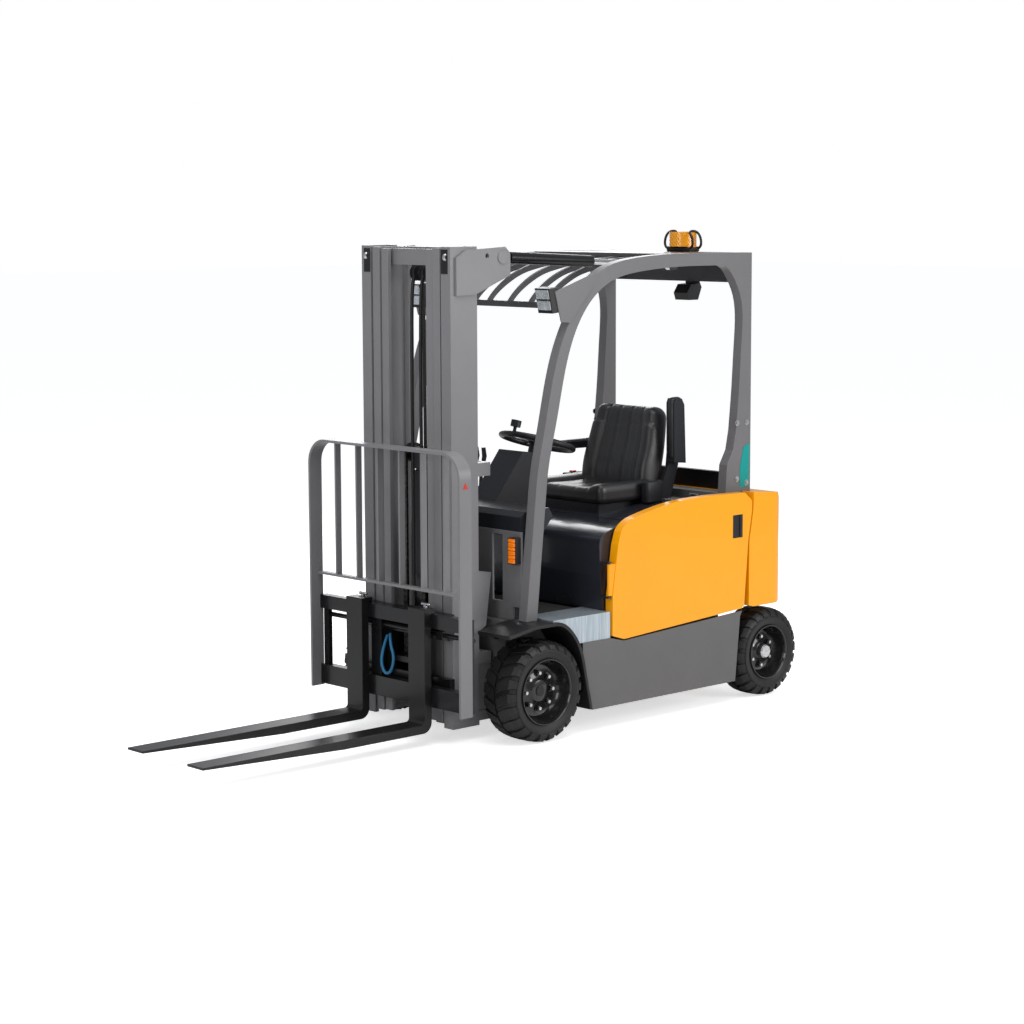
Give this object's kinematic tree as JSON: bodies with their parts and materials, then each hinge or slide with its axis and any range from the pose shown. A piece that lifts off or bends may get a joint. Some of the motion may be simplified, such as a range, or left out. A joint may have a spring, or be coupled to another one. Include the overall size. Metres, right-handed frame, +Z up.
{
  "type": "forklift",
  "caption": "Electric four-wheel counterbalance forklift with a three-stage mast, sideshift forks, load backrest, driver's seat, overhead guard and steered rear wheels.",
  "frame": {"origin": "on the ground under the middle of the box round the whole truck, forks included, with the mast upright and the forks lowered", "axes": "+X to the truck's left, -Y to the forks, +Z up; the front axle is at Y = -0.035 m"},
  "size_m": [1.168, 3.3599, 2.233],
  "materials": {
    "mast_paint": "satin grey paint",
    "guard_paint": "satin grey paint",
    "chassis_paint": "satin dark grey paint",
    "cowl_paint": "satin grey paint",
    "yellow_paint": "gloss yellow paint",
    "black_paint": "satin black paint",
    "fork_paint": "satin black paint",
    "silver_steel": "galvanised",
    "chrome_rod": "polished",
    "black_plastic": "fine grain",
    "console_plastic": "fine grain",
    "seat_vinyl": "soft vinyl",
    "lamp_amber": "clear amber",
    "beacon_yellow": "clear yellow",
    "lamp_black": "gloss",
    "floor_rubber": "ribbed",
    "tyre_rubber": "moulded",
    "chain_steel": "oiled",
    "battery_case": "satin"
  },
  "bodies": {
    "chassis": {"frame": "chassis_paint", "battery": "battery_case", "floor_plate": "floor_rubber", "step_plates": "silver_steel", "front_fenders": "chassis_paint", "cowl": "cowl_paint", "dash": "console_plastic", "pedals": "floor_rubber", "control_levers": "black_plastic", "guard_side_left": "guard_paint", "guard_side_right": "guard_paint", "guard_roof_bars": "guard_paint", "guard_roof_sheet": "guard_paint", "headlamp_brackets": "guard_paint", "headlamps": "lamp_black", "beacon": "beacon_yellow", "roof_lamp": "lamp_black", "indicator_lamps": "lamp_amber", "horn": "black_plastic", "drive_axle": "black_paint", "steer_axle": "black_paint", "counterweight": "yellow_paint", "rear_tray": "black_plastic", "deck_front": "console_plastic"},
    "steering_wheel": {"steering_wheel": "black_plastic"},
    "seat_deck": {"seat_deck": "console_plastic", "seat_frame": "black_plastic", "seat_cushion": "seat_vinyl", "seat_back": "seat_vinyl"},
    "side_door_left": {"side_door_left": "yellow_paint"},
    "side_door_right": {"side_door_right": "yellow_paint"},
    "mast_outer": {"mast_outer_rails": "mast_paint", "lift_barrels": "mast_paint"},
    "mast_middle": {"mast_middle_rails": "mast_paint", "lift_rods": "chrome_rod"},
    "mast_inner": {"mast_inner_rails": "mast_paint", "free_lift_barrel": "mast_paint"},
    "free_lift_head": {"free_lift_head": "mast_paint"},
    "carriage": {"carriage": "black_paint", "carriage_chains": "chain_steel"},
    "sideshift": {"fork_carriage": "black_paint", "forks": "fork_paint", "load_backrest": "black_paint"},
    "tilt_barrel_left": {"tilt_barrel_left": "mast_paint"},
    "tilt_rod_left": {"tilt_rod_left": "chrome_rod"},
    "front_wheel_left": {"front_tyre_left": "tyre_rubber", "front_rim_left": "black_paint"},
    "rear_knuckle_left": {"rear_knuckle_left": "black_paint"},
    "rear_wheel_left": {"rear_tyre_left": "tyre_rubber", "rear_rim_left": "black_paint"},
    "tilt_barrel_right": {"tilt_barrel_right": "mast_paint"},
    "tilt_rod_right": {"tilt_rod_right": "chrome_rod"},
    "front_wheel_right": {"front_tyre_right": "tyre_rubber", "front_rim_right": "black_paint"},
    "rear_knuckle_right": {"rear_knuckle_right": "black_paint"},
    "rear_wheel_right": {"rear_tyre_right": "tyre_rubber", "rear_rim_right": "black_paint"}
  },
  "joints": [
    {"name": "mast_tilt", "type": "hinge", "parent": "chassis", "child": "mast_outer", "pos_m": [0, -0.035, 0.23], "axis": [1, 0, 0], "range_deg": [-5, 6]},
    {"name": "mast_middle_lift", "type": "slide", "parent": "mast_outer", "child": "mast_middle", "axis": [0, 0, 1], "range_m": [0, 1.5]},
    {"name": "mast_inner_lift", "type": "slide", "parent": "mast_middle", "child": "mast_inner", "axis": [0, 0, 1], "range_m": [0, 1.5]},
    {"name": "free_lift", "type": "slide", "parent": "mast_inner", "child": "free_lift_head", "axis": [0, 0, 1], "range_m": [0, 0.72]},
    {"name": "carriage_lift", "type": "slide", "parent": "free_lift_head", "child": "carriage", "axis": [0, 0, 1], "range_m": [0, 0.72], "deforming": ["carriage_chains"]},
    {"name": "sideshift_slide", "type": "slide", "parent": "carriage", "child": "sideshift", "axis": [1, 0, 0], "range_m": [-0.1, 0.1]},
    {"name": "tilt_barrel_left_pin", "type": "hinge", "parent": "mast_outer", "child": "tilt_barrel_left", "pos_m": [0.284, -0.045, 2.142], "axis": [1, 0, 0], "range_deg": [-7, 7]},
    {"name": "tilt_rod_left_stroke", "type": "slide", "parent": "tilt_barrel_left", "child": "tilt_rod_left", "axis": [0, 0.9986, -0.0536], "range_m": [-0.175, 0.21]},
    {"name": "front_wheel_left_spin", "type": "hinge", "parent": "chassis", "child": "front_wheel_left", "pos_m": [0.486, -0.035, 0.23], "axis": [1, 0, 0], "continuous": true},
    {"name": "rear_steer_left", "type": "hinge", "parent": "chassis", "child": "rear_knuckle_left", "pos_m": [0.372, 1.465, 0.215], "axis": [0, 0, 1], "range_deg": [-60, 60]},
    {"name": "rear_wheel_left_spin", "type": "hinge", "parent": "rear_knuckle_left", "child": "rear_wheel_left", "pos_m": [0.4835, 1.465, 0.215], "axis": [1, 0, 0], "continuous": true},
    {"name": "side_door_left_swing", "type": "hinge", "parent": "chassis", "child": "side_door_left", "pos_m": [0.553, 0.38, 0.684], "axis": [0, 0, -1], "range_deg": [0, 90]},
    {"name": "tilt_barrel_right_pin", "type": "hinge", "parent": "mast_outer", "child": "tilt_barrel_right", "pos_m": [-0.284, -0.045, 2.142], "axis": [1, 0, 0], "range_deg": [-7, 7]},
    {"name": "tilt_rod_right_stroke", "type": "slide", "parent": "tilt_barrel_right", "child": "tilt_rod_right", "axis": [0, 0.9986, -0.0536], "range_m": [-0.175, 0.21]},
    {"name": "front_wheel_right_spin", "type": "hinge", "parent": "chassis", "child": "front_wheel_right", "pos_m": [-0.486, -0.035, 0.23], "axis": [1, 0, 0], "continuous": true},
    {"name": "rear_steer_right", "type": "hinge", "parent": "chassis", "child": "rear_knuckle_right", "pos_m": [-0.372, 1.465, 0.215], "axis": [0, 0, 1], "range_deg": [-60, 60]},
    {"name": "rear_wheel_right_spin", "type": "hinge", "parent": "rear_knuckle_right", "child": "rear_wheel_right", "pos_m": [-0.4835, 1.465, 0.215], "axis": [1, 0, 0], "continuous": true},
    {"name": "side_door_right_swing", "type": "hinge", "parent": "chassis", "child": "side_door_right", "pos_m": [-0.553, 0.38, 0.684], "axis": [0, 0, 1], "range_deg": [0, 90]},
    {"name": "steering_wheel_turn", "type": "hinge", "parent": "chassis", "child": "steering_wheel", "pos_m": [0, 0.459, 1.268], "axis": [0, 0.2924, 0.9563], "continuous": true},
    {"name": "seat_deck_lift", "type": "hinge", "parent": "chassis", "child": "seat_deck", "pos_m": [0, 1.217, 0.975], "axis": [-1, 0, 0], "range_deg": [0, 65]}
  ],
  "couplings": [
    {"joint": "mast_inner_lift", "follows": "mast_middle_lift", "ratio": 1},
    {"joint": "carriage_lift", "follows": "free_lift", "ratio": 1},
    {"joint": "rear_steer_right", "follows": "rear_steer_left", "ratio": 1},
    {"joint": "tilt_barrel_left_pin", "follows": "mast_tilt", "ratio": -0.885},
    {"joint": "tilt_rod_left_stroke", "follows": "mast_tilt", "m_per_rad": 1.912},
    {"joint": "tilt_barrel_right_pin", "follows": "mast_tilt", "ratio": -0.885},
    {"joint": "tilt_rod_right_stroke", "follows": "mast_tilt", "m_per_rad": 1.912}
  ]
}
